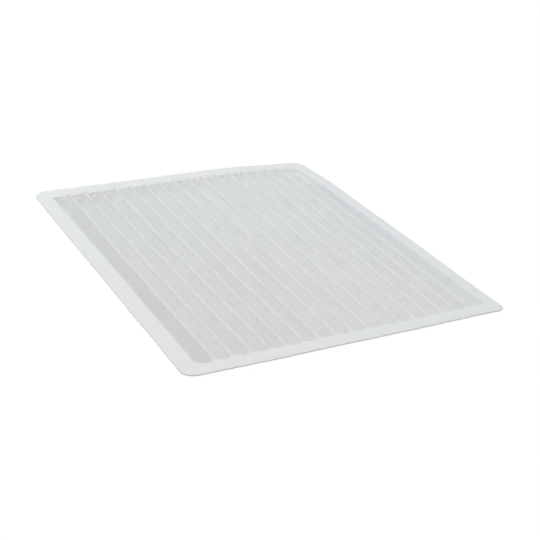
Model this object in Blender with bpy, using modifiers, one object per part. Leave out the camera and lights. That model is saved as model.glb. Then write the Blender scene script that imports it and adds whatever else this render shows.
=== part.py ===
"""Pleated panel air filter: a moulded nonwoven rim that carries a three-ply pleated web on lines of hot melt.

Metres, +Z up. X runs across the pleats, Y along them. The origin is at the middle of the underside.
"""

import math

import bmesh
import bpy

MM = 0.001

# ---- overall sizes -------------------------------------------------------------------------
RIM_WIDTH = 195.0 * MM  # across the pleats
RIM_LENGTH = 241.0 * MM  # along the pleats

# ---- rim -----------------------------------------------------------------------------------
FLANGE_WIDTH = 9.4 * MM  # outer edge to the edge of the window
FLANGE_THICKNESS = 1.2 * MM
SKIRT_DEPTH = 7.0 * MM  # underside of the flange down to the foot of the skirt
SKIRT_WALL = 1.2 * MM
SKIRT_DRAFT = 2.4 * MM  # how far the foot stands in from the edge of the window
WINDOW_ROLL = 0.8 * MM  # rounding where the flange turns down
CORNER_RADIUS_NEAR = 6.5 * MM
CORNER_RADIUS_FAR_LEFT = 7.0 * MM
CORNER_RADIUS_FAR_RIGHT = 10.0 * MM
CORNER_STEPS = 6
ROLL_STEPS = 3

# ---- pleated webs --------------------------------------------------------------------------
PLEAT_COUNT = 18
CREST_RISE = 1.5 * MM  # crests of the upper web above the flange
VALLEY_LIFT = 0.6 * MM  # lowest point of the backing web above the foot of the skirt
FOLD_RADIUS = 0.9 * MM  # at the middle of the laminate
FOLD_STEPS = 4
WEB_THICKNESS = 0.25 * MM
PLY_GAP = 0.3 * MM
EDGE_DROP = 1.4 * MM  # cut edge of the outermost flank, below the top of the flange

# ---- hot melt ------------------------------------------------------------------------------
SEAL_THICKNESS = 0.9 * MM
SEAL_GAP = 0.3 * MM  # clearance to whatever the hot melt touches
END_SEAL_DROP = 1.9 * MM  # top of the end seals below the top of the flange
SIDE_SEAL_DROP = 5.0 * MM  # top of the side seals below the top of the flange
SEAL_LIFT = 0.9 * MM  # foot of every seal above the foot of the skirt

# ---- derived -------------------------------------------------------------------------------
FLANGE_TOP = SKIRT_DEPTH + FLANGE_THICKNESS
FLANGE_UNDERSIDE = SKIRT_DEPTH
DRAFT_SLOPE = SKIRT_DRAFT / FLANGE_TOP
END_CLEARANCE = 2 * SEAL_GAP + SEAL_THICKNESS  # skirt to the ends of the webs
WINDOW_CORNER_RADIUS = END_CLEARANCE  # so the webs' corners clear the rounding
PLY_STEP = WEB_THICKNESS + PLY_GAP
HALF_LAMINATE = PLY_STEP + WEB_THICKNESS / 2
CREST_HEIGHT = FLANGE_TOP + CREST_RISE - HALF_LAMINATE
VALLEY_HEIGHT = VALLEY_LIFT + HALF_LAMINATE
PACK_WIDTH = RIM_WIDTH - 2 * FLANGE_WIDTH
PITCH = PACK_WIDTH / PLEAT_COUNT
CREST_CENTRE = CREST_HEIGHT - FOLD_RADIUS
VALLEY_CENTRE = VALLEY_HEIGHT + FOLD_RADIUS


def flank_tilt():
    """Angle above the horizontal of a flank's normal, for flanks that run straight from fold to fold."""
    across = PITCH / 2
    down = CREST_CENTRE - VALLEY_CENTRE
    return math.acos(2 * FOLD_RADIUS / math.hypot(across, down)) - math.atan2(down, across)


FLANK_TILT = flank_tilt()


def wall_inset(z):
    """Distance from the rim's outer edge in to the skirt's inner face at height z."""
    return FLANGE_WIDTH + DRAFT_SLOPE * (FLANGE_TOP - z)


# ---- scene helpers -------------------------------------------------------------------------
def clear_scene():
    for leftover in list(bpy.data.objects):
        bpy.data.objects.remove(leftover)


def principled(name, colour, roughness, metallic=0.0):
    material = bpy.data.materials.new(name)
    material.use_nodes = True
    shader = material.node_tree.nodes["Principled BSDF"]
    shader.inputs["Base Color"].default_value = (*colour, 1.0)
    shader.inputs["Roughness"].default_value = roughness
    shader.inputs["Metallic"].default_value = metallic
    return material


def add_object(name, bm, material, collection):
    bmesh.ops.recalc_face_normals(bm, faces=bm.faces)
    mesh = bpy.data.meshes.new(name)
    bm.to_mesh(mesh)
    bm.free()
    mesh.materials.append(material)
    mesh.shade_smooth()
    mesh.set_sharp_from_angle(angle=math.radians(35))
    obj = bpy.data.objects.new(name, mesh)
    collection.objects.link(obj)
    return obj


# ---- rim -----------------------------------------------------------------------------------
def rounded_rectangle(inset, radii, z):
    """Points, anticlockwise from the near left corner, of the outline that lies inset from the outer edge."""
    half_x = RIM_WIDTH / 2 - inset
    half_y = RIM_LENGTH / 2 - inset
    signs = ((-1, -1), (1, -1), (1, 1), (-1, 1))
    points = []
    for quarter, ((sign_x, sign_y), radius) in enumerate(zip(signs, radii)):
        centre_x = sign_x * (half_x - radius)
        centre_y = sign_y * (half_y - radius)
        for step in range(CORNER_STEPS + 1):
            angle = math.pi + (quarter + step / CORNER_STEPS) * math.pi / 2
            points.append((centre_x + radius * math.cos(angle), centre_y + radius * math.sin(angle), z))
    return points


def rim_section():
    """The rim's section as (inset, height, corner radii), from the outer edge over the top and back."""
    outer_radii = (CORNER_RADIUS_NEAR, CORNER_RADIUS_NEAR, CORNER_RADIUS_FAR_RIGHT, CORNER_RADIUS_FAR_LEFT)
    lean = math.atan(DRAFT_SLOPE)
    roll_foot = FLANGE_TOP - WINDOW_ROLL + WINDOW_ROLL * math.sin(lean)
    roll_inset = wall_inset(roll_foot) - WINDOW_ROLL * math.cos(lean)
    section = [(0.0, FLANGE_TOP, outer_radii)]
    for step in range(ROLL_STEPS + 1):
        angle = math.pi / 2 - step / ROLL_STEPS * (math.pi / 2 - lean)
        inset = roll_inset + WINDOW_ROLL * math.cos(angle)
        height = FLANGE_TOP - WINDOW_ROLL + WINDOW_ROLL * math.sin(angle)
        radius = WINDOW_CORNER_RADIUS + wall_inset(height) - inset
        section.append((inset, height, (radius,) * 4))
    inner = (WINDOW_CORNER_RADIUS,) * 4
    outer = (WINDOW_CORNER_RADIUS + SKIRT_WALL,) * 4
    section.append((wall_inset(0.0), 0.0, inner))
    section.append((wall_inset(0.0) - SKIRT_WALL, 0.0, outer))
    section.append((wall_inset(FLANGE_UNDERSIDE) - SKIRT_WALL, FLANGE_UNDERSIDE, outer))
    section.append((0.0, FLANGE_UNDERSIDE, outer_radii))
    return section


def build_rim(material, collection):
    """Draws the outer outline, then extrudes it round the section and bridges it back to the start."""
    bm = bmesh.new()
    loops = [rounded_rectangle(inset, radii, z) for inset, z, radii in rim_section()]
    ring = [bm.verts.new(point) for point in loops[0]]
    edges = [bm.edges.new((a, b)) for a, b in zip(ring, ring[1:] + ring[:1])]
    first = edges
    for loop in loops[1:]:
        made = bmesh.ops.extrude_edge_only(bm, edges=edges)["geom"]
        edges = [item for item in made if isinstance(item, bmesh.types.BMEdge)]
        ring = follow(ring, made)
        for vert, point in zip(ring, loop):
            vert.co = point
        edges = [edge for edge in edges if edge.is_boundary and all(v in ring for v in edge.verts)]
    bmesh.ops.bridge_loops(bm, edges=edges + first)
    return add_object("rim", bm, material, collection)


def follow(ring, made):
    """The new ring that an extrusion made from an old one, in the old one's order."""
    fresh = {item for item in made if isinstance(item, bmesh.types.BMVert)}
    return [next(e.other_vert(v) for e in v.link_edges if e.other_vert(v) in fresh) for v in ring]


# ---- pleated webs --------------------------------------------------------------------------
def crest_x(index):
    return (index - PLEAT_COUNT / 2) * PITCH


def flank_x(offset, z):
    """X of the first flank, which hangs from the left edge, at height z, for a ply offset from the middle."""
    reach = FOLD_RADIUS + offset - (z - CREST_CENTRE) * math.sin(FLANK_TILT)
    return crest_x(0) + reach / math.cos(FLANK_TILT)


def fold(centre_x, centre_z, radius, first, last):
    for step in range(FOLD_STEPS + 1):
        angle = first + (last - first) * step / FOLD_STEPS
        yield centre_x + radius * math.cos(angle), centre_z + radius * math.sin(angle)


def web_path(offset):
    """Points (x, z) of a ply from its left cut edge to its right one."""
    edge_height = FLANGE_TOP - EDGE_DROP
    edge = flank_x(offset, edge_height)
    points = [(edge, edge_height)]
    for pleat in range(PLEAT_COUNT):
        if pleat:
            start, end = math.pi - FLANK_TILT, FLANK_TILT
            points.extend(fold(crest_x(pleat), CREST_CENTRE, FOLD_RADIUS + offset, start, end))
        valley = crest_x(pleat + 0.5)
        start, end = math.pi + FLANK_TILT, 2 * math.pi - FLANK_TILT
        points.extend(fold(valley, VALLEY_CENTRE, FOLD_RADIUS - offset, start, end))
    points.append((-edge, edge_height))
    return points


def web_end(z):
    """How far a web reaches along +Y at height z, which follows the skirt's draft."""
    return RIM_LENGTH / 2 - wall_inset(z) - END_CLEARANCE


def build_web(name, ply, material, collection):
    """Folds a ply along its path, pulls it out along Y and thickens it. ply counts up from the middle one."""
    bm = bmesh.new()
    near = [bm.verts.new((x, -web_end(z), z)) for x, z in web_path(ply * PLY_STEP)]
    edges = [bm.edges.new(pair) for pair in zip(near, near[1:])]
    made = bmesh.ops.extrude_edge_only(bm, edges=edges)["geom"]
    for item in made:
        if isinstance(item, bmesh.types.BMVert):
            item.co.y = web_end(item.co.z)
    web = add_object(name, bm, material, collection)
    skin = web.modifiers.new("thickness", "SOLIDIFY")
    skin.thickness = WEB_THICKNESS
    skin.offset = 0.0
    skin.use_even_offset = True
    return web


# ---- hot melt ------------------------------------------------------------------------------
def prism(section, half_length, across):
    """A closed bar with a four-sided section of (reach, z) points, run along X or, with across, along Y."""
    bm = bmesh.new()
    place = (lambda r, s, z: (r, s, z)) if across else (lambda r, s, z: (s, r, z))
    corners = [bm.verts.new(place(reach, -half_length, z)) for reach, z in section]
    cap = bm.faces.new(corners)
    made = bmesh.ops.extrude_face_region(bm, geom=[cap])["geom"]
    moved = [item for item in made if isinstance(item, bmesh.types.BMVert)]
    shift = place(0.0, 2 * half_length, 0.0)
    bmesh.ops.translate(bm, verts=moved, vec=shift)
    return bm


def build_end_seal(name, side, material, collection):
    """The bar between the webs' ends and the end skirt. side is 1 at the far end and -1 at the near one."""
    top = FLANGE_TOP - END_SEAL_DROP
    wall_top = RIM_LENGTH / 2 - wall_inset(top) - SEAL_GAP
    wall_foot = RIM_LENGTH / 2 - wall_inset(SEAL_LIFT) - SEAL_GAP
    section = [
        (side * wall_foot, SEAL_LIFT),
        (side * wall_top, top),
        (side * (wall_top - SEAL_THICKNESS), top),
        (side * (wall_foot - SEAL_THICKNESS), SEAL_LIFT),
    ]
    half_length = RIM_WIDTH / 2 - wall_inset(0.0) - WINDOW_CORNER_RADIUS - SEAL_GAP
    return add_object(name, prism(section, half_length, False), material, collection)


def build_side_seal(name, side, material, collection):
    """The wedge between the outermost flank and the side skirt. side is 1 on the right and -1 on the left."""
    top = FLANGE_TOP - SIDE_SEAL_DROP
    backing_face = -HALF_LAMINATE
    wedge_gap = SEAL_GAP / math.cos(FLANK_TILT)
    section = []
    for z in (SEAL_LIFT, top):
        section.append((side * (RIM_WIDTH / 2 - wall_inset(z) - SEAL_GAP), z))
    for z in (top, SEAL_LIFT):
        section.append((side * (-flank_x(backing_face, z) + wedge_gap), z))
    half_length = RIM_LENGTH / 2 - wall_inset(0.0) - WINDOW_CORNER_RADIUS - SEAL_GAP
    return add_object(name, prism(section, half_length, True), material, collection)


def main():
    clear_scene()
    parts = bpy.data.collections.new("pleated_panel_filter")
    bpy.context.scene.collection.children.link(parts)
    nonwoven = principled("nonwoven_rim", (0.76, 0.79, 0.78), 0.9)
    spunbond = principled("spunbond_upper", (0.72, 0.75, 0.73), 0.95)
    electret = principled("electret_fine", (0.82, 0.83, 0.82), 0.85)
    scrim = principled("backing_scrim", (0.70, 0.72, 0.70), 0.95)
    hot_melt = principled("hot_melt", (0.72, 0.66, 0.42), 0.45)
    build_rim(nonwoven, parts)
    build_web("upper_web", 1, spunbond, parts)
    build_web("fine_web", 0, electret, parts)
    build_web("backing_web", -1, scrim, parts)
    build_end_seal("end_seal_far", 1, hot_melt, parts)
    build_end_seal("end_seal_near", -1, hot_melt, parts)
    build_side_seal("side_seal_left", -1, hot_melt, parts)
    build_side_seal("side_seal_right", 1, hot_melt, parts)


main()
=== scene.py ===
import math

import bmesh
import bpy
import numpy as np
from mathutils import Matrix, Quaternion, Vector


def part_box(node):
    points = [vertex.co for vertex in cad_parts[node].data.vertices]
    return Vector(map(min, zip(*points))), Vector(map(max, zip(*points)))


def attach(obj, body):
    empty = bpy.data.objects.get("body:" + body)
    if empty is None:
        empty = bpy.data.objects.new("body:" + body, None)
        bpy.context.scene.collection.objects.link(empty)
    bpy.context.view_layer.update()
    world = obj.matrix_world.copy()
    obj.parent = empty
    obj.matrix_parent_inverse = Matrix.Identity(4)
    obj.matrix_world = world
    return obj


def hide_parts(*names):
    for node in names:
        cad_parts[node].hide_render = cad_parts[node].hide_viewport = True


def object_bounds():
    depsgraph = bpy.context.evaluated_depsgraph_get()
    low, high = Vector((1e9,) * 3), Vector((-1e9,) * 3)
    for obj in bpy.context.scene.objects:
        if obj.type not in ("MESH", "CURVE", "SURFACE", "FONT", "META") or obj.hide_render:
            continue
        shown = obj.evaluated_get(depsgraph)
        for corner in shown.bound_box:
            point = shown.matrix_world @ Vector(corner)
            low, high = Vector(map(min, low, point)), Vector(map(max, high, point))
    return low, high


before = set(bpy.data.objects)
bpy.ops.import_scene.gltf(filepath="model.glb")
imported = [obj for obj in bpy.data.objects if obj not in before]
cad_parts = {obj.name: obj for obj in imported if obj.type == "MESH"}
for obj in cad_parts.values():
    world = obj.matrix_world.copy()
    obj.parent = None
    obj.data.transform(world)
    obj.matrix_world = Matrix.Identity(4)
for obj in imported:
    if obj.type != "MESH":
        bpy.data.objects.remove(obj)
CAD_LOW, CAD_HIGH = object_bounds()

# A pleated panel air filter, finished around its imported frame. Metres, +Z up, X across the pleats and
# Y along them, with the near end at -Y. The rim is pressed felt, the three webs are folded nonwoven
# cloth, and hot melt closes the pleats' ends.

MM = 0.001

# ---- sizes shared with the frame -----------------------------------------------------------
RIM_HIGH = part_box("rim")[1]
HALF_X = RIM_HIGH.x
HALF_Y = RIM_HIGH.y
FLANGE_TOP = RIM_HIGH.z
CREST_RISE = CAD_HIGH.z - FLANGE_TOP
FLANGE_WIDTH = 9.4 * MM
FLANGE_THICKNESS = 1.2 * MM
SKIRT_WALL = 1.2 * MM
SKIRT_DRAFT = 2.4 * MM
VALLEY_LIFT = 0.6 * MM
PLEATS = 18

# ---- how the real rim differs from an even one ---------------------------------------------
CUT_EDGE = 0.8 * MM  # thickness of the flange where it was cut out
WINDOW_CORNER = 1.6 * MM
NEAR_LEFT_CORNER = 7.2 * MM
NEAR_RIGHT_CORNER = 6.0 * MM
FAR_RIGHT_CORNER = 8.5 * MM
FAR_LEFT_CORNER = 8.5 * MM
WINDOW_SHIFT = 0.9 * MM  # the window sits a little to the right in the rim
NEAR_WIDER = 2.8 * MM  # the flange is wider at the two ends than along the sides
FAR_WIDER = 1.2 * MM
RIGHT_NARROWER = 1.2 * MM
RIGHT_TILT = 0.3 * MM  # how far the right flange has tipped down at its outer edge
RIGHT_SPREAD = 1.5 * MM  # how much the flange stands out at the far right corner
NEAR_CURL = 0.35 * MM  # how far the near flange has curled up at its edge
FAR_SAG = 0.6 * MM  # how far the far flange's lip rolls down into each pocket

# ---- the cloth -----------------------------------------------------------------------------
PLY = 0.20 * MM
PLY_SOLID = 0.18 * MM  # a little under PLY, so that the plies don't touch
FOLD_RADIUS = 0.36 * MM  # at the middle ply
HALF_LAMINATE = 1.5 * PLY

# ---- camera --------------------------------------------------------------------------------
VIEW_AZIMUTH = -29.47
VIEW_ELEVATION = 26.46
VIEW_ROLL = 4.07
VIEW_DISTANCE = 0.683
VIEW_AIM = Vector((-4.6 * MM, -31.0 * MM, FLANGE_TOP))
LENS = 79.1


def make_camera():
    azimuth, elevation = math.radians(VIEW_AZIMUTH), math.radians(VIEW_ELEVATION)
    level = math.cos(elevation)
    back = Vector((math.sin(azimuth) * level, -math.cos(azimuth) * level, math.sin(elevation)))
    data = bpy.data.cameras.new("camera")
    data.lens = LENS
    data.clip_start = 0.01
    data.clip_end = 50.0
    camera = bpy.data.objects.new("camera", data)
    bpy.context.scene.collection.objects.link(camera)
    camera.location = VIEW_AIM + back * VIEW_DISTANCE
    camera.rotation_mode = "QUATERNION"
    roll = Quaternion((0.0, 0.0, 1.0), math.radians(VIEW_ROLL))
    camera.rotation_quaternion = (-back).to_track_quat("-Z", "Y") @ roll
    bpy.context.scene.camera = camera


make_camera()


# ---- small maths ---------------------------------------------------------------------------
def ease(low, high, x):
    """0 below low, 1 above high and a smooth step between."""
    t = np.clip((x - low) / (high - low), 0.0, 1.0)
    return t * t * (3.0 - 2.0 * t)


def ripple(x, seed, longest, octaves=4):
    """A smooth random curve along x, of about unit size, whose longest wave is longest metres."""
    rng = np.random.default_rng(seed)
    shorter = 1.7
    weaker = 1.3
    total = np.zeros_like(x)
    for octave in range(octaves):
        wave = longest / (shorter**octave) * rng.uniform(0.85, 1.15)
        total = total + np.sin(2 * np.pi * (x / wave + rng.uniform())) / (weaker**octave)
    return total / 1.6


def wall_inset(z):
    """Distance from the rim's outer edge in to the skirt's inner face at height z."""
    return FLANGE_WIDTH + SKIRT_DRAFT * (FLANGE_TOP - z) / FLANGE_TOP


def end_line(side, z):
    """|y| of the window's end wall at height z. side is negative at the near end."""
    return HALF_Y - wall_inset(z) - np.where(side < 0, NEAR_WIDER, FAR_WIDER)


# ---- where the pleats lie ------------------------------------------------------------------
PACK_HALF = HALF_X - FLANGE_WIDTH
HELD_SHARE = 0.06  # the share of the width, at each side, where the folds keep straight with the rim
CREST_DRIFT = 23.6 * MM  # the folds crowd to the right of where even ones would be
DRIFT_POWER = 1.7  # the crowding grows towards the right
CREST_UNEVEN = 0.36 * MM  # and their gaps widen and narrow
UNEVEN_FOLDS = 9.5  # over about this many folds
CREST_SHIFT = 0.2 * MM
FAN_LENGTH = 100.0 * MM  # the length over which the next three are measured
CREST_LEAN = 0.45 * MM  # how far every fold leans to the right
CREST_FAN = 2.1 * MM  # how much further the right hand folds lean
CREST_BOW = 0.9 * MM  # how far a fold's ends bow to the right
BOW_LEVEL = 0.35  # so that its middle bows to the left
FAN_START, FAN_END = 0.12, 0.75  # the shares of the width between which the lean grows
CREST_WANDER = 0.22 * MM
NEAR_FALL = 4.6 * MM  # how far from its end a crest starts to come down onto the flange
FAR_FALL = 2.6 * MM
CREST_SET = 0.12 * MM  # how much lower than the frame's the pressed crests are
CREST_WAVE = 0.1 * MM
CREST_END = 0.02 * MM  # how proud of the flange a crest is where it ends
POCKET_ROUND = 0.5  # below 1, the pockets are broad and the cusps between them sharp
NEAR_SCALLOP = 2.5 * MM
FAR_SCALLOP = 0.2 * MM
FOOT_SHARE = 0.35  # the share of a scallop or a sag that is left at its shallow side

# Seeds of the folds' wander. Each fold adds its own number.
WANDER_SEED, CREST_SEED, VALLEY_SEED, BUCKLE_SEED, TWIST_SEED = 100, 200, 300, 400, 500


def fold_x(index, y):
    """X of a fold line at y. index counts crests from 0 at the left edge, with halves for valleys."""
    share = np.clip(index / PLEATS, 0.0, 1.0)
    inner = ease(0.0, HELD_SHARE, share) * ease(0.0, HELD_SHARE, 1.0 - share)
    x = (share - 0.5) * 2 * PACK_HALF + WINDOW_SHIFT * (1.0 - inner)
    x = x + CREST_DRIFT * share**DRIFT_POWER * (1.0 - share)
    x = x + inner * CREST_UNEVEN * np.sin(2 * np.pi * (index - 1.0) / UNEVEN_FOLDS)
    x = x + inner * CREST_SHIFT
    lean = CREST_LEAN + CREST_FAN * ease(FAN_START, FAN_END, share)
    bow = CREST_BOW * (np.square(y / FAN_LENGTH) - BOW_LEVEL)
    return x + inner * (lean * y / FAN_LENGTH + bow)


def from_end(y):
    """Distance from a place on the unbent cloth to its nearer end."""
    return HALF_Y - FLANGE_WIDTH - np.abs(y)


def crest_height(y, seed):
    """Top of a crest along y: proud of the flange, and down onto it at both ends."""
    drop = 1.0 - ease(0.0, np.where(y < 0, NEAR_FALL, FAR_FALL), from_end(y))
    proud = CREST_RISE - CREST_SET + CREST_WAVE * ripple(y, seed, 70 * MM, 3)
    return FLANGE_TOP + proud - drop * (proud - CREST_END)


def pocket(x, y):
    """0 at the crests and 1 half way between them, rounded, for the scalloped ends of the channels."""
    lines = np.array([fold_x(k, y) for k in range(PLEATS + 1)])
    phase = np.interp(x, lines, np.arange(PLEATS + 1.0))
    return np.abs(np.sin(np.pi * phase)) ** POCKET_ROUND


def scallop(x, y, z):
    """How far the end wall is pushed out along Y, away from the middle, at a place on it."""
    depth = np.where(y < 0, NEAR_SCALLOP, FAR_SCALLOP)
    low = FOOT_SHARE + (1.0 - FOOT_SHARE) * np.clip(z / FLANGE_TOP, 0.0, 1.0)
    both = np.where(y < 0, pocket(x, -HALF_Y + FLANGE_WIDTH), pocket(x, HALF_Y - FLANGE_WIDTH))
    return depth * both * low


DROOP = 3.1 * MM  # how far the far right corner has sunk
DROOP_X, DROOP_Y = 22 * MM, 50 * MM  # where its slope starts
DROOP_NEAR, DROOP_FULL = 0.75, 2.0  # and where it ends, as x and y in half sizes added together
WAVE_HEIGHT = 0.12 * MM


def settle(points):
    """The whole panel's set: a corner has sunk and the rest is very slightly wavy. The foot stays down."""
    x, y, z = points.T
    corner = ease(DROOP_X, HALF_X, x) * ease(DROOP_Y, HALF_Y, y)
    sink = DROOP * corner * ease(DROOP_NEAR, DROOP_FULL, x / HALF_X + y / HALF_Y)
    wave = WAVE_HEIGHT * (ripple(x, 5, 150 * MM, 2) + ripple(y, 6, 190 * MM, 2))
    lift = (wave - sink) * np.clip(z / FLANGE_TOP, 0.0, 1.1)
    return np.column_stack([x, y, z + lift])


# ---- meshes --------------------------------------------------------------------------------
def move_points(bm, place):
    """Moves every point of a bmesh to place(points)."""
    points = place(np.array([v.co for v in bm.verts]))
    for vert, point in zip(bm.verts, points):
        vert.co = point


def grid_mesh(columns, rows, place, **maps):
    """A grid whose corner (i, j) is put at place(i, j). Each of maps gives a UV map's (i, j), in metres."""
    bm = bmesh.new()
    bmesh.ops.create_grid(bm, x_segments=columns, y_segments=rows, size=0.5)
    flat = np.array([v.co for v in bm.verts])
    i = np.rint((flat[:, 0] + 0.5) * columns).astype(int)
    j = np.rint((flat[:, 1] + 0.5) * rows).astype(int)
    for vert, point in zip(bm.verts, place(i, j)):
        vert.co = point
    bm.verts.index_update()
    for name, where in maps.items():
        layer = bm.loops.layers.uv.new(name)
        spots = where(i, j)
        for face in bm.faces:
            for loop in face.loops:
                loop[layer].uv = spots[loop.vert.index]
    return bm


def add_piece(name, bm, material, node):
    """Makes the mesh an object that rides on the frame and stands for one of its nodes."""
    mesh = bpy.data.meshes.new(name)
    bm.to_mesh(mesh)
    bm.free()
    mesh.materials.append(material)
    mesh.shade_smooth()
    piece = bpy.data.objects.new(name, mesh)
    bpy.context.scene.collection.objects.link(piece)
    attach(piece, "root")
    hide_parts(node)
    return piece


# ---- rim -----------------------------------------------------------------------------------
CORNER_STEPS = 12
STEPS_ACROSS = 236
STEPS_ALONG = 190
MOVE_START = 24 * MM  # how far in from the outer edge the window's sides begin to follow their walls
MOVE_FULL = 2.1 * MM  # how far inside the skirt's foot they follow them whole
LIP = 2.4 * MM  # the strip beside the window that rolls down
ROUGH_EDGE = 3.0 * MM  # the strip along the outer edge that was cut a little unevenly
SIDE_ROUGH = 0.16 * MM
END_ROUGH = 0.12 * MM
ROUGH_LEVEL = 0.6  # so that the cut runs inside the straight line more than outside it
PUFF = 0.05 * MM  # how uneven the felt's face is


def rim_section():
    """Closed section as arrays (inset, height): over the flange, down the skirt, up its outside and back."""
    edge = 0.25 * MM
    roll = 0.9 * MM
    foot = 0.35 * MM
    crook_drop = 1.1 * MM
    underside = FLANGE_TOP - FLANGE_THICKNESS
    cut_side = FLANGE_TOP - CUT_EDGE
    lean = math.degrees(math.atan(SKIRT_DRAFT / FLANGE_TOP))
    points = []

    def arc(inset, height, radius, first, last, steps):
        for step in range(steps + 1):
            angle = math.radians(first + (last - first) * step / steps)
            points.append((inset + radius * math.cos(angle), height + radius * math.sin(angle)))

    arc(edge, FLANGE_TOP - edge, edge, 180, 90, 3)
    points.extend((FLANGE_WIDTH * share, FLANGE_TOP) for share in (0.25, 0.5, 0.72, 0.86))
    roll_foot = FLANGE_TOP - roll + roll * math.sin(math.radians(lean))
    roll_inset = wall_inset(roll_foot) - roll * math.cos(math.radians(lean))
    arc(roll_inset, FLANGE_TOP - roll, roll, 90, lean, 5)
    points.extend((wall_inset(z), z) for z in np.linspace(FLANGE_TOP * 0.75, foot * 1.4, 5))
    arc(wall_inset(0) - foot, foot, foot, 0, -90, 2)
    arc(wall_inset(0) - SKIRT_WALL + foot, foot, foot, -90, -180, 2)
    outside = np.linspace(foot * 2, underside - crook_drop, 5)
    points.extend((wall_inset(z) - SKIRT_WALL, z) for z in outside)
    crook = wall_inset(underside) - SKIRT_WALL
    arc(crook - roll * 0.9, underside - roll, roll, 10, 90, 4)
    points.append((FLANGE_WIDTH * 0.5, underside))
    points.append((FLANGE_WIDTH * 0.25, cut_side - 0.1 * MM))
    arc(edge, cut_side + edge, edge, 270, 180, 3)
    return np.array(points)


def outline(i, inset, corner_blend):
    """Points round the rim at an inset from its edge. i runs anticlockwise from the near left corner."""
    outer = np.array([NEAR_LEFT_CORNER, NEAR_RIGHT_CORNER, FAR_RIGHT_CORNER, FAR_LEFT_CORNER])
    steps = np.array([STEPS_ACROSS, STEPS_ALONG, STEPS_ACROSS, STEPS_ALONG]) + CORNER_STEPS
    starts = np.concatenate([[0], np.cumsum(steps)])
    i = i % starts[-1]
    quarter = np.searchsorted(starts, i, side="right") - 1
    radius = outer * (1 - corner_blend[:, None]) + WINDOW_CORNER * corner_blend[:, None]
    rows = np.arange(len(i))
    sign_x = np.array([-1, 1, 1, -1])
    sign_y = np.array([-1, -1, 1, 1])

    def corner_centre(q):
        own = radius[rows, q]
        return sign_x[q] * (HALF_X - inset - own), sign_y[q] * (HALF_Y - inset - own), own

    step = i - starts[quarter]
    angle = np.pi + (quarter + np.minimum(step, CORNER_STEPS) / CORNER_STEPS) * np.pi / 2
    centre_x, centre_y, own = corner_centre(quarter)
    x = centre_x + own * np.cos(angle)
    y = centre_y + own * np.sin(angle)
    next_x, next_y, next_own = corner_centre((quarter + 1) % 4)
    next_angle = np.pi + (quarter + 1) * np.pi / 2
    side = np.clip((step - CORNER_STEPS) / (steps[quarter] - CORNER_STEPS), 0.0, 1.0)
    x = x + side * (next_x + next_own * np.cos(next_angle) - x)
    y = y + side * (next_y + next_own * np.sin(next_angle) - y)
    return x, y


def shape_window(x, y, height, inset):
    """Puts the window in its place: wider flanges at the ends, a narrower one at the right, scallops."""
    inner = ease(0.45 * FLANGE_WIDTH, 0.97 * FLANGE_WIDTH, inset)
    at_pleats = ease(0.0, 2.5 * MM, PACK_HALF + 1.0 * MM - np.abs(x))
    end = ease(HALF_Y - MOVE_START, HALF_Y - wall_inset(0) - MOVE_FULL, np.abs(y))
    right = ease(HALF_X - MOVE_START, HALF_X - wall_inset(0) - MOVE_FULL, x)
    wider = np.where(y < 0, NEAR_WIDER, FAR_WIDER)
    on_wall = np.abs(y) > HALF_Y - wall_inset(0) - 0.5 * MM
    pushed = scallop(x, y, height) * at_pleats * on_wall
    y = y + np.sign(y) * (pushed - wider * end) * inner
    x = x + (WINDOW_SHIFT + RIGHT_NARROWER * right) * inner
    hollow = FOOT_SHARE + (1.0 - FOOT_SHARE) * pocket(x, HALF_Y - FLANGE_WIDTH)
    lip = ease(FLANGE_WIDTH - LIP, FLANGE_WIDTH, inset) * ease(0.55 * FLANGE_TOP, FLANGE_TOP, height)
    return x, y, height - FAR_SAG * lip * at_pleats * hollow * end * (y > 0)


def bend_flange(x, y, height, inset):
    """Tips the right flange down, curls the near one up and spreads the far right corner."""
    above_foot = np.clip(height / FLANGE_TOP, 0.0, 1.0)
    to_right = np.clip((x - HALF_X + FLANGE_WIDTH) / FLANGE_WIDTH, 0.0, 1.0)
    to_near = np.clip((FLANGE_WIDTH - HALF_Y - y) / FLANGE_WIDTH, 0.0, 1.0)
    height = height - RIGHT_TILT * above_foot * to_right
    height = height + NEAR_CURL * above_foot * to_near
    outermost = 1.0 - ease(0.0, FLANGE_WIDTH, inset)
    x = x + RIGHT_SPREAD * outermost * ease(0.0, HALF_X, x) * ease(30 * MM, HALF_Y, y)
    return x, height


def roughen_edge(x, y, inset):
    """The outer edge was cut a little unevenly, so it wanders in and out."""
    strip = 1.0 - ease(0.0, ROUGH_EDGE, inset)
    side_cut = SIDE_ROUGH * (ripple(y, 11, 110 * MM, 3) - ROUGH_LEVEL)
    x = x + strip * np.sign(x) * side_cut * (np.abs(x) > HALF_X - 4 * MM)
    end_cut = END_ROUGH * (ripple(x, 12, 90 * MM, 3) - ROUGH_LEVEL)
    y = y + strip * np.sign(y) * end_cut * (np.abs(y) > HALF_Y - 4 * MM)
    return x, y


def build_rim(material):
    section = rim_section()
    around = 2 * (STEPS_ACROSS + STEPS_ALONG) + 4 * CORNER_STEPS

    def place(i, j):
        inset, height = section[j % len(section)].T
        x, y = outline(i, inset, np.clip(inset / FLANGE_WIDTH, 0.0, 1.0))
        x, y, height = shape_window(x, y, height, inset)
        x, height = bend_flange(x, y, height, inset)
        x, y = roughen_edge(x, y, inset)
        puff = PUFF * (ripple(x + 3 * y, 13, 26 * MM) + ripple(y - 2 * x, 14, 21 * MM))
        return settle(np.column_stack([x, y, height + puff * ease(0.0, FLANGE_TOP, height)]))

    bm = grid_mesh(around, len(section), place)
    bmesh.ops.remove_doubles(bm, verts=bm.verts, dist=1e-7)
    bmesh.ops.recalc_face_normals(bm, faces=bm.faces)
    return add_piece("pressed_rim", bm, material, "rim")


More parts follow.
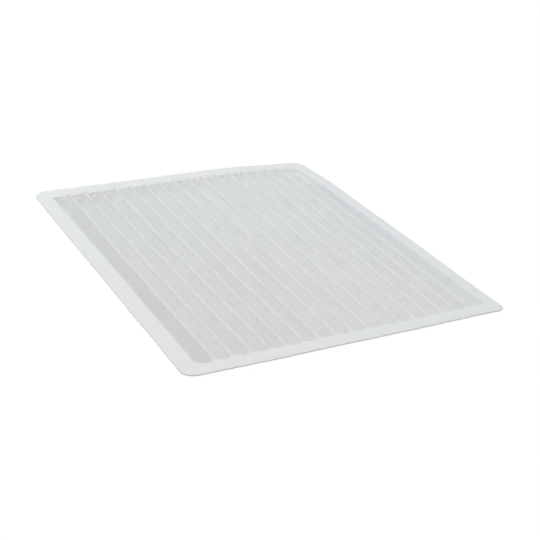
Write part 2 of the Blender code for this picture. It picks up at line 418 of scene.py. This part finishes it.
# ---- webs ----------------------------------------------------------------------------------
FOLD_STEPS = 5
FLANK_STEPS = 4
EDGE_DROP = 0.9 * MM  # how far below the flange's face the cloth's outermost edges are
EDGE_SPREAD = 0.8 * MM  # so that the outermost flanks run into the rim's wall
WALL_HUG = 2.0 * MM  # how far the outermost valleys are pulled over to that wall
FAR_RISE = 4.9 * MM  # how far the valleys climb where the melt holds them
NEAR_RISE = 0.4 * MM
RISE_LENGTH = 6.0 * MM
END_TUCK = 0.5 * MM  # how far the webs' ends are buried in the rim's wall
NEAR_LAP = 1.3 * MM  # how much further the crests' ends reach, into the flange
FAR_LAP = 0.3 * MM
VALLEY_WANDER = 0.6  # the valleys wander this much as far as the crests do
VALLEY_RIPPLE = 0.15 * MM
BUCKLE = 0.13 * MM  # how far a flank bellies out
TWIST = 0.35
END_CROWD = 0.12  # how much closer the rows of points lie at the ends
SCALLOP_REACH = 9 * MM  # how far from the end the cloth begins to follow the scalloped wall


def fold_centres(y):
    """Centres of the folds' arcs at every y, as two arrays (folds, rows) of x and z. Even ones are crests."""
    folds = 2 * PLEATS + 1
    centre_x = np.empty((folds, len(y)))
    centre_z = np.empty_like(centre_x)
    for m in range(folds):
        is_crest = m % 2 == 0
        wander = CREST_WANDER * ripple(y, WANDER_SEED + m, 150 * MM, 3) if 0 < m < folds - 1 else 0.0
        centre_x[m] = fold_x(m / 2, y) + wander * (1.0 if is_crest else VALLEY_WANDER)
        if is_crest:
            centre_z[m] = crest_height(y, CREST_SEED + m) - HALF_LAMINATE - FOLD_RADIUS
        else:
            climb = np.where(y < 0, NEAR_RISE, FAR_RISE) * (1.0 - ease(0.0, RISE_LENGTH, from_end(y)))
            ripples = VALLEY_RIPPLE * (1 + ripple(y, VALLEY_SEED + m, 80 * MM, 2))
            centre_z[m] = VALLEY_LIFT + HALF_LAMINATE + FOLD_RADIUS + ripples + climb
    centre_x[0] -= EDGE_SPREAD
    centre_x[1] -= WALL_HUG
    centre_x[-2] += WALL_HUG + RIGHT_NARROWER
    centre_x[-1] += EDGE_SPREAD + RIGHT_NARROWER
    return centre_x, centre_z


def web_profile(y, offset):
    """The ply's section at every y, as an array (points across, rows, 2) of x and z.

    offset is how far the ply lies above the middle one.
    """
    centre_x, centre_z = fold_centres(y)
    folds = len(centre_x)
    crest = np.arange(folds) % 2 == 0
    radius = np.where(crest, FOLD_RADIUS + offset, FOLD_RADIUS - offset)
    across = np.diff(centre_x, axis=0)
    down = np.abs(np.diff(centre_z, axis=0))
    tilt = np.arccos(2 * FOLD_RADIUS / np.hypot(across, down)) - np.arctan2(down, across)
    edge_height = FLANGE_TOP - EDGE_DROP
    columns = []
    for m in range(folds - 1):
        sign = 1.0 if crest[m] else -1.0
        cos, sin = np.cos(tilt[m]), np.sin(tilt[m])
        start_z = centre_z[m] + sign * radius[m] * sin
        stop_z = centre_z[m + 1] + -sign * radius[m + 1] * sin
        start = np.stack([centre_x[m] + radius[m] * cos, start_z], axis=1)
        stop = np.stack([centre_x[m + 1] - radius[m + 1] * cos, stop_z], axis=1)
        if m == 0:
            cut = (edge_height - start[:, 1]) / (stop[:, 1] - start[:, 1])
            start = start + cut[:, None] * (stop - start)
        if m == folds - 2:
            cut = (edge_height - stop[:, 1]) / (start[:, 1] - stop[:, 1])
            stop = stop + cut[:, None] * (start - stop)
        buckle = BUCKLE * ripple(y, BUCKLE_SEED + m, 46 * MM, 4)
        twist = TWIST * ripple(y, TWIST_SEED + m, 60 * MM, 2)
        normal = np.stack([cos, sign * sin], axis=1)
        for step in range(FLANK_STEPS + 1):
            share = step / FLANK_STEPS
            belly = np.sin(np.pi * share) * (1 + twist * (share - 0.5) * 2) * buckle
            columns.append(start + share * (stop - start) + belly[:, None] * normal)
        if m < folds - 2:
            if crest[m + 1]:
                first, last = np.pi - tilt[m], tilt[m + 1]
            else:
                first, last = np.pi + tilt[m], 2 * np.pi - tilt[m + 1]
            centre = np.stack([centre_x[m + 1], centre_z[m + 1]], axis=1)
            for step in range(1, FOLD_STEPS):
                angle = first + (last - first) * step / FOLD_STEPS
                ring = np.stack([np.cos(angle), np.sin(angle)], axis=1)
                columns.append(centre + radius[m + 1] * ring)
    return np.array(columns)


def web_points(profile, rest):
    """The ply's points, its ends fitted to the scalloped walls, as an array (points across, rows, 3)."""
    x, z = profile[:, :, 0], profile[:, :, 1]
    share = rest / (HALF_Y - FLANGE_WIDTH)
    over_flange = ease(FLANGE_TOP - 2 * MM, FLANGE_TOP - 0.4 * MM, z)
    reach = end_line(share[None, :], z) + END_TUCK + np.where(share < 0, NEAR_LAP, FAR_LAP) * over_flange
    y = share[None, :] * reach
    near_end = ease(reach - SCALLOP_REACH, reach, np.abs(y))
    y = y + np.sign(y) * near_end * scallop(x.ravel(), y.ravel(), z.ravel()).reshape(y.shape)
    return settle(np.column_stack([x.ravel(), y.ravel(), z.ravel()])).reshape(x.shape + (3,))


def build_web(name, ply, rows, material, node):
    """A folded ply. ply is 1 for the upper one, 0 for the middle one and -1 for the backing."""
    even = np.linspace(-1.0, 1.0, rows + 1)
    rest = even * (1.0 + END_CROWD * (1.0 - even**2)) * (HALF_Y - FLANGE_WIDTH)
    profile = web_profile(rest, ply * PLY)
    points = web_points(profile, rest)
    steps = np.hypot(*np.diff(profile[:, rows // 2], axis=0).T)
    developed = np.concatenate([[0.0], np.cumsum(steps)])
    pleat = 2 * (FLANK_STEPS + FOLD_STEPS)
    crests = (developed[pleat::pleat] + developed[pleat - FOLD_STEPS : -FOLD_STEPS : pleat]) / 2
    to_crest = np.abs(developed[:, None] - crests[None, :]).min(axis=1)

    def place(i, j):
        return points[i, j]

    def cloth(i, j):
        return np.column_stack([developed[i], rest[j]])

    def crease(i, j):
        return np.column_stack([to_crest[i], rest[j]])

    def margin(i, j):
        return np.column_stack([crests[0] - developed[i], developed[i] - crests[-1]])

    bm = grid_mesh(len(profile) - 1, rows, place, cloth=cloth, crease=crease, margin=margin)
    web = add_piece(name, bm, material, node)
    skin = web.modifiers.new("thickness", "SOLIDIFY")
    skin.thickness = PLY_SOLID
    skin.offset = 0.0
    return web


# ---- hot melt ------------------------------------------------------------------------------
END_BAR = 1.1 * MM
SIDE_BAR = 0.7 * MM
BAR_CELL = 2.2 * MM  # the length between a bar's rings of points
TOP_BLOB = 4.2 * MM  # height of the third blob in a channel
BLOBS_FAR, BLOBS_NEAR = 0.0, 0.15  # the share of the channels that have one


def melt_bar(length, height, thickness, seed):
    """A lumpy rounded bar along X, centred on the origin."""
    bm = bmesh.new()
    bmesh.ops.create_cube(bm, size=1.0)
    bmesh.ops.scale(bm, vec=(length, thickness, height), verts=bm.verts)
    lengthways = [e for e in bm.edges if abs(e.verts[0].co.x - e.verts[1].co.x) > length / 2]
    bmesh.ops.subdivide_edges(bm, edges=lengthways, cuts=int(length / BAR_CELL), use_grid_fill=True)
    along = [e for e in bm.edges if abs(e.verts[0].co.x - e.verts[1].co.x) > length * 1e-4]
    bmesh.ops.bevel(
        bm, geom=along, offset=thickness * 0.42, offset_type="OFFSET", segments=3, profile=0.5,
        affect="EDGES", material=-1,
    )
    x = np.array([v.co.x for v in bm.verts])
    swell = 1.0 + 0.16 * ripple(x, seed, 17 * MM, 4)
    sway = 0.10 * MM * ripple(x, seed + 1, 23 * MM, 3)
    for vert, grow, shift in zip(bm.verts, swell, sway):
        vert.co.y = vert.co.y * min(grow, 1.15) + shift
        vert.co.z *= min(grow, 1.1)
    return bm


def add_blob(bm, centre, size, turn, depth):
    """A lump of melt, size across, along and above its centre, and depth below it."""
    made = bmesh.ops.create_icosphere(bm, subdivisions=3, radius=1.0)["verts"]
    for vert in made:
        unit = vert.co.copy()
        wobble = 1 + 0.12 * math.sin(3.1 * unit.x + turn) * math.cos(2.7 * unit.z - turn)
        wobble = wobble + 0.06 * math.sin(6 * unit.y + turn)
        down = size[2] if unit.z > 0 else depth
        vert.co = Vector((unit.x * size[0], unit.y * size[1], unit.z * down)) * wobble
        vert.co += Vector(centre)


def finish_melt(name, bm, material, node):
    move_points(bm, settle)
    bmesh.ops.recalc_face_normals(bm, faces=bm.faces)
    return add_piece(name, bm, material, node)


def build_end_seal(name, node, side, seed, material):
    """The melt line across one end, with what has crept up into some of the channels."""
    rng = np.random.default_rng(seed)
    low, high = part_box(node)
    bm = melt_bar(high.x - low.x + 1.2 * MM, high.z - low.z - 0.6 * MM, END_BAR, seed)
    middle = (low.z + high.z) / 2 - 0.3 * MM

    def against_wall(points):
        z = points[:, 2] + middle
        wall = end_line(side, z) - END_BAR / 2
        out = wall + scallop(points[:, 0], np.full(len(z), float(side)), z) * 0.8
        return np.column_stack([points[:, 0], side * (out + points[:, 1]), z])

    move_points(bm, against_wall)
    foot = VALLEY_LIFT + 2 * HALF_LAMINATE + 0.3 * MM
    top_chance = BLOBS_FAR if side > 0 else BLOBS_NEAR
    for k in range(PLEATS):
        for share, height in ((0.5, 0.0), (0.5 + rng.uniform(-0.1, 0.1), 2.2 * MM), (0.5, TOP_BLOB)):
            tall = rng.uniform(1.3, 2.1) * MM
            if height == TOP_BLOB and rng.uniform() > top_chance:
                continue
            base = foot + height
            where = fold_x(k + share, side * (HALF_Y - FLANGE_WIDTH)) + rng.uniform(-0.4, 0.4) * MM
            wide = 0.9 * MM + 0.55 * height
            inward = (rng.uniform(0.8, 1.4) - 0.1 * height / MM) * MM
            wall = float(end_line(side, base))
            wall += float(scallop(np.array([where]), np.array([float(side)]), np.array([base]))[0])
            centre = (where, side * (wall - 0.2 * MM), base)
            add_blob(bm, centre, (wide, inward, tall), rng.uniform(0, 6), 1.0 * MM)
    return finish_melt(name, bm, material, node)


def build_side_seal(name, node, side, seed, material):
    """The melt line between the outermost flank and the skirt's wall."""
    low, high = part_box(node)
    bm = melt_bar(high.y - low.y - NEAR_WIDER - FAR_WIDER, 0.6 * (high.z - low.z), SIDE_BAR, seed)
    middle = low.z + 0.45 * (high.z - low.z)

    def against_wall(points):
        z = points[:, 2] + middle
        out = HALF_X - wall_inset(z) - 0.5 * MM
        x = side * (out + points[:, 1]) + WINDOW_SHIFT + (RIGHT_NARROWER if side > 0 else 0.0)
        return np.column_stack([x, points[:, 0] + (NEAR_WIDER - FAR_WIDER) / 2, z])

    move_points(bm, against_wall)
    return finish_melt(name, bm, material, node)


# ---- materials -----------------------------------------------------------------------------
class Signal:
    """A shader socket on which plain arithmetic adds Math nodes."""

    def __init__(self, tree, socket):
        self.tree = tree
        self.socket = socket

    def math(self, operation, first, second):
        node = self.tree.nodes.new("ShaderNodeMath")
        node.operation = operation
        for place, value in zip(node.inputs, (first, second)):
            if isinstance(value, Signal):
                self.tree.links.new(value.socket, place)
            else:
                place.default_value = value
        return Signal(self.tree, node.outputs[0])

    def __add__(self, other):
        return self.math("ADD", self, other)

    def __radd__(self, other):
        return self.math("ADD", other, self)

    def __sub__(self, other):
        return self.math("SUBTRACT", self, other)

    def __rsub__(self, other):
        return self.math("SUBTRACT", other, self)

    def __mul__(self, other):
        return self.math("MULTIPLY", self, other)

    def __rmul__(self, other):
        return self.math("MULTIPLY", other, self)


class Finish:
    """One material and the nodes it is made of."""

    def __init__(self, name):
        self.material = bpy.data.materials.new(name)
        self.material.use_nodes = True
        self.tree = self.material.node_tree
        self.tree.nodes.clear()

    def node(self, kind, values=None, output=0, **settings):
        """Adds any node: its settings first, then each named input's value or link. Gives one output."""
        node = self.tree.nodes.new(kind)
        for key, value in settings.items():
            setattr(node, key, value)
        for key, value in (values or {}).items():
            if isinstance(value, Signal):
                self.tree.links.new(value.socket, node.inputs[key])
            else:
                node.inputs[key].default_value = value
        return Signal(self.tree, node.outputs[output])

    def map(self, name):
        return self.node("ShaderNodeUVMap", uv_map=name)

    def part(self, vector, axis):
        """One number of a vector: axis 0, 1 or 2."""
        return self.node("ShaderNodeSeparateXYZ", {0: vector}, output=axis)

    def place(self, source="Object", turn=0.0, stretch=(1.0, 1.0, 1.0)):
        """Coordinates in metres, turned about Z in degrees and then stretched."""
        if source == "Object":
            texture = self.node("ShaderNodeTexCoord", output=source)
        else:
            texture = self.map(source)
        turned = {"Vector": texture, "Rotation": (0.0, 0.0, math.radians(turn))}
        turned = self.node("ShaderNodeMapping", turned, vector_type="POINT")
        return self.node("ShaderNodeVectorMath", {0: turned, 1: stretch}, operation="MULTIPLY")

    def noise(self, at, size, detail=3.0, roughness=0.5, distortion=0.0):
        """Noise about zero, from -1 to 1, whose features are about size metres across."""
        values = {"Vector": at, "Scale": 1.0 / size, "Detail": detail}
        values.update({"Roughness": roughness, "Distortion": distortion})
        return (self.node("ShaderNodeTexNoise", values) - 0.5) * 2.0

    def band(self, value, low, high):
        """0 where value is below low, 1 above high and smooth between."""
        values = {0: value, 1: low, 2: high, 3: 0.0, 4: 1.0}
        return self.node("ShaderNodeMapRange", values, interpolation_type="SMOOTHSTEP")

    def tint(self, amount, first, second):
        """A colour between two, at amount from 0 to 1."""
        return self.node("ShaderNodeMix", {0: amount, 6: first, 7: second}, output=2, data_type="RGBA")

    def strands(self, source, turns, width, length):
        """Fine fibres lying in several directions: about 1 on a fibre and 0 off it."""
        total = 0.0
        for number, turn in enumerate(turns):
            at = self.place(source, turn, (1.0, width / length, 1.0))
            wavy = self.noise(at, width * (1.0 + 0.35 * number), detail=2.0, distortion=0.6)
            total = self.band(wavy, 0.18, 0.62) + total
        return total * (1.0 / len(turns))

    def surface(self, colour, roughness, height, strength, distance, **constants):
        """The finished shader. Constants are sockets' names, with _ for a space, and their values."""
        bump = self.node("ShaderNodeBump", {"Height": height, "Strength": strength, "Distance": distance})
        values = {"Base Color": colour, "Roughness": roughness, "Normal": bump}
        values.update({key.replace("_", " "): value for key, value in constants.items()})
        self.output(self.node("ShaderNodeBsdfPrincipled", values))
        return self.material

    def output(self, shader):
        out = self.tree.nodes.new("ShaderNodeOutputMaterial")
        self.tree.links.new(shader.socket, out.inputs["Surface"])


FELT_DARK = (0.81, 0.82, 0.816, 1.0)
FELT_LIGHT = (0.85, 0.86, 0.856, 1.0)
FELT_SPECK = (0.62, 0.62, 0.57, 1.0)
SPUNBOND_DARK = (0.77, 0.78, 0.773, 1.0)
SPUNBOND_LIGHT = (0.85, 0.86, 0.853, 1.0)
ELECTRET_DARK = (0.80, 0.81, 0.80, 1.0)
ELECTRET_LIGHT = (0.86, 0.87, 0.86, 1.0)
BACKING_DARK = (0.70, 0.725, 0.715, 1.0)
BACKING_LIGHT = (0.78, 0.80, 0.79, 1.0)
FIRST_FLANK_SHADE = (0.708, 0.716, 0.708, 1.0)  # painted shade, which the two outermost flanks take some of
LAST_FLANK_SHADE = (0.74, 0.755, 0.785, 1.0)
SOAKED_AND_SHADED = (0.722, 0.725, 0.69, 1.0)  # cloth at the far end: melt stain from behind it and painted shade of the recess under the flange
LINT = (0.55, 0.55, 0.53, 1.0)
MELT_DARK = (0.82, 0.815, 0.77, 1.0)
MELT_LIGHT = (0.87, 0.866, 0.83, 1.0)
FLANK_EDGE = 1.2 * MM  # how far past the outermost crests the painted shade of those flanks reaches its full strength
SOAK_SHADE_START = HALF_Y - FLANGE_WIDTH - 10.5 * MM  # where the melt stain and the painted shade of the far recess begin on the cloth
SOAK_SHADE_LENGTH = 8.5 * MM
NEAR_CREST_END = 4 * MM - HALF_Y + FLANGE_WIDTH  # nearer than this the crests get a painted highlight, painted paler
NEAR_CREST_FADE = 7 * MM


def pressed_felt():
    """The rim: fibres felted and pressed hard, so it is a little brighter and smoother than the cloth."""
    felt = Finish("pressed_felt")
    body = felt.place()
    clouds = felt.noise(body, 9 * MM, 4.0, 0.6)
    grain = felt.noise(body, 1.1 * MM, 4.0, 0.65)
    fibres = felt.strands("Object", (12.0, 67.0, 128.0), 0.16 * MM, 3.2 * MM)
    specks = felt.band(felt.noise(body, 1.6 * MM, 1.0), 0.66, 0.74)
    shade = clouds * 0.25 + grain * 0.3 + fibres * 0.35 + 0.42
    colour = felt.tint(shade, FELT_DARK, FELT_LIGHT)
    colour = felt.tint(specks * 0.35, colour, FELT_SPECK)
    height = fibres * 0.6 + grain * 0.4
    rough = grain * 0.04 + 0.86
    return felt.surface(colour, rough, height, 0.35, 0.08 * MM, Specular_IOR_Level=0.25, Sheen_Weight=0.15)


def web_cloth(name, dark, light, weight_mottle, fibre_width):
    """A nonwoven web. Its fibres follow the folded cloth, and so does its uneven weight."""
    cloth = Finish(name)
    along = cloth.place("cloth")
    body = cloth.place()
    clouds = cloth.noise(along, 3.4 * MM, 3.0, 0.6)
    patches = cloth.noise(along, 22 * MM, 2.0, 0.5)
    grain = cloth.noise(along, 1.3 * MM, 2.0, 0.6)
    fibres = cloth.strands("cloth", (8.0, 55.0, 97.0, 141.0), fibre_width, 5.0 * MM)
    lint = cloth.band(cloth.noise(along, 2.3 * MM, 1.0), 0.62, 0.70)
    shade = clouds * weight_mottle + grain * 0.7 + patches * 0.25 + fibres * 0.4 + 0.3

    # Painted highlight makes the crests paler, painted shade darkens a faint line beside them, and painted
    # shade darkens the deep part of each flank.
    fold = cloth.part(cloth.map("crease"), 0)
    crest_highlight = 1.0 - cloth.band(fold, 0.45 * MM, 0.9 * MM)
    beside_crest_shade = cloth.band(fold, 0.6 * MM, 1.3 * MM) * (1.0 - cloth.band(fold, 1.9 * MM, 3.2 * MM))
    shade = shade + crest_highlight * 0.08 - beside_crest_shade * 0.10 - cloth.band(fold, 4.5 * MM, 7.2 * MM) * 0.2

    # Painted light: the cloth is made lighter towards the right and a little lighter towards the near end,
    # standing in for how the light falls across it.
    across = cloth.part(body, 0)
    toward_far = cloth.part(body, 1)
    shade = shade + cloth.band(across, -60 * MM, 70 * MM) * 0.25
    shade = shade - cloth.band(toward_far, -110 * MM, 110 * MM) * 0.06 + 0.07
    # Painted highlight: near the near end the crests are painted paler still, where they come down onto the
    # flange.
    near_crest_highlight = 1.0 - cloth.band(toward_far, NEAR_CREST_END, NEAR_CREST_END + NEAR_CREST_FADE)
    shade = shade + crest_highlight * near_crest_highlight * 0.6

    # Painted shade on the two outermost flanks beside the rim's walls: grey at the left, bluish grey at the
    # right.
    edges = cloth.map("margin")
    first = cloth.band(cloth.part(edges, 0), 0.0, FLANK_EDGE)
    last = cloth.band(cloth.part(edges, 1), 0.0, FLANK_EDGE)
    colour = cloth.tint(shade, dark, light)
    colour = cloth.tint(first * 0.45, colour, FIRST_FLANK_SHADE)
    colour = cloth.tint(last * 0.4, colour, LAST_FLANK_SHADE)
    # The far end of the cloth is part melt stain and part painted shade of the recess under the flange, kept
    # off the crests.
    uneven_length = cloth.part(along, 1) + clouds * 0.8 * MM + patches * 1.2 * MM
    soaked_and_shaded = cloth.band(uneven_length, SOAK_SHADE_START, SOAK_SHADE_START + SOAK_SHADE_LENGTH)
    colour = cloth.tint(soaked_and_shaded * (0.75 - crest_highlight * 0.5), colour, SOAKED_AND_SHADED)
    colour = cloth.tint(lint * 0.12, colour, LINT)
    height = fibres * 0.7 + clouds * 0.3
    rough = clouds * 0.04 + 0.9
    return cloth.surface(colour, rough, height, 0.4, 0.1 * MM, Specular_IOR_Level=0.2, Sheen_Weight=0.2)


def hot_melt():
    """Hot melt: waxy, pale yellow and smooth, cloudier where it is thick."""
    melt = Finish("hot_melt")
    body = melt.place()
    clouds = melt.noise(body, 4 * MM, 3.0, 0.5)
    dimples = melt.noise(body, 1.4 * MM, 2.0, 0.5)
    colour = melt.tint(clouds * 0.5 + 0.5, MELT_DARK, MELT_LIGHT)
    rough = clouds * 0.08 + 0.38
    waxy = {"Subsurface_Weight": 0.15, "Subsurface_Scale": 1 * MM}
    return melt.surface(colour, rough, dimples, 0.25, 0.12 * MM, **waxy)


# ---- the whole filter ----------------------------------------------------------------------
felt = pressed_felt()
spunbond = web_cloth("spunbond_web", SPUNBOND_DARK, SPUNBOND_LIGHT, 0.62, 0.12 * MM)
electret = web_cloth("electret_web", ELECTRET_DARK, ELECTRET_LIGHT, 0.15, 0.05 * MM)
backing = web_cloth("backing_web", BACKING_DARK, BACKING_LIGHT, 0.40, 0.15 * MM)
glue = hot_melt()

build_rim(felt)
build_web("upper_cloth", 1, 150, spunbond, "upper_web")
build_web("fine_cloth", 0, 60, electret, "fine_web")
build_web("backing_cloth", -1, 120, backing, "backing_web")
build_end_seal("melt_far", "end_seal_far", 1, 21, glue)
build_end_seal("melt_near", "end_seal_near", -1, 31, glue)
build_side_seal("melt_left", "side_seal_left", -1, 41, glue)
build_side_seal("melt_right", "side_seal_right", 1, 51, glue)


# ---- floor and light -----------------------------------------------------------------------
WHITE = (1.0, 1.0, 1.0, 1.0)


def make_floor():
    """A pale light table, large enough to fill the view, lit from below and very nearly white."""
    table = Finish("light_table")
    glow = table.node("ShaderNodeEmission", {"Color": WHITE, "Strength": 0.985})
    cover = table.node("ShaderNodeBsdfDiffuse", {"Color": (0.03, 0.03, 0.03, 1.0)})
    table.output(table.node("ShaderNodeAddShader", {0: glow, 1: cover}))
    bm = bmesh.new()
    bmesh.ops.create_grid(bm, x_segments=1, y_segments=1, size=8.0)
    mesh = bpy.data.meshes.new("floor")
    bm.to_mesh(mesh)
    bm.free()
    mesh.materials.append(table.material)
    floor = bpy.data.objects.new("floor", mesh)
    bpy.context.scene.collection.objects.link(floor)
    floor.visible_diffuse = False


# The tent's brightness, as (height of the direction from -1 to 1, red, green, blue).
TENT = (
    (-1.0, 0.50, 0.50, 0.50),
    (-0.03, 0.50, 0.50, 0.50),
    (0.03, 0.42, 0.41, 0.42),
    (0.35, 0.42, 0.43, 0.40),
    (1.0, 0.15, 0.15, 0.15),
)

# Lamps: name, azimuth and height in degrees, distance and size in metres, power in watts and colour.
LAMPS = (
    ("far_left", -150.0, 50.0, 0.90, 0.50, 3.3, (0.76, 0.89, 1.0)),
    ("near_left", -45.0, 50.0, 0.90, 0.50, 2.3, (1.0, 0.83, 0.75)),
    ("far_right", 135.0, 50.0, 0.90, 0.50, 1.5, (1.0, 0.77, 0.48)),
    ("near_right", 45.0, 50.0, 0.90, 0.50, 1.1, (0.65, 0.98, 1.0)),
    ("right", 95.0, 30.0, 0.60, 0.40, 0.4, (0.05, 0.20, 1.0)),
)


def make_tent():
    """A soft tent of light all round. Past the table's far edge the room itself looks white."""
    world = bpy.data.worlds.new("tent")
    world.use_nodes = True
    nodes, links = world.node_tree.nodes, world.node_tree.links
    nodes.clear()
    place = nodes.new("ShaderNodeTexCoord")
    split = nodes.new("ShaderNodeSeparateXYZ")
    span = nodes.new("ShaderNodeMapRange")
    ramp = nodes.new("ShaderNodeValToRGB")
    glow = nodes.new("ShaderNodeBackground")
    room = nodes.new("ShaderNodeBackground")
    seen = nodes.new("ShaderNodeLightPath")
    choose = nodes.new("ShaderNodeMixShader")
    out = nodes.new("ShaderNodeOutputWorld")
    room.inputs["Color"].default_value = WHITE
    span.inputs["From Min"].default_value = -1.0
    links.new(place.outputs["Generated"], split.inputs[0])
    links.new(split.outputs["Z"], span.inputs["Value"])
    links.new(span.outputs["Result"], ramp.inputs["Fac"])
    links.new(ramp.outputs["Color"], glow.inputs["Color"])
    links.new(seen.outputs["Is Camera Ray"], choose.inputs[0])
    links.new(glow.outputs[0], choose.inputs[1])
    links.new(room.outputs[0], choose.inputs[2])
    links.new(choose.outputs[0], out.inputs[0])
    stops = ramp.color_ramp.elements
    while len(stops) < len(TENT):
        stops.new(0.5)
    for stop, (height, red, green, blue) in zip(stops, TENT):
        stop.position = 0.5 + 0.5 * height
        stop.color = (red, green, blue, 1.0)
    bpy.context.scene.world = world


def make_lamp(name, azimuth, height, distance, size, power, colour):
    level = math.cos(math.radians(height))
    turn = math.radians(azimuth)
    toward = Vector((math.sin(turn) * level, -math.cos(turn) * level, math.sin(math.radians(height))))
    data = bpy.data.lights.new(name, "AREA")
    data.shape = "DISK"
    data.size = size
    data.energy = power
    data.color = colour
    lamp = bpy.data.objects.new(name, data)
    bpy.context.scene.collection.objects.link(lamp)
    lamp.location = toward * distance
    lamp.rotation_mode = "QUATERNION"
    lamp.rotation_quaternion = toward.to_track_quat("Z", "Y")


bpy.context.scene.view_settings.view_transform = "Standard"
make_floor()
make_tent()
for lamp in LAMPS:
    make_lamp(*lamp)
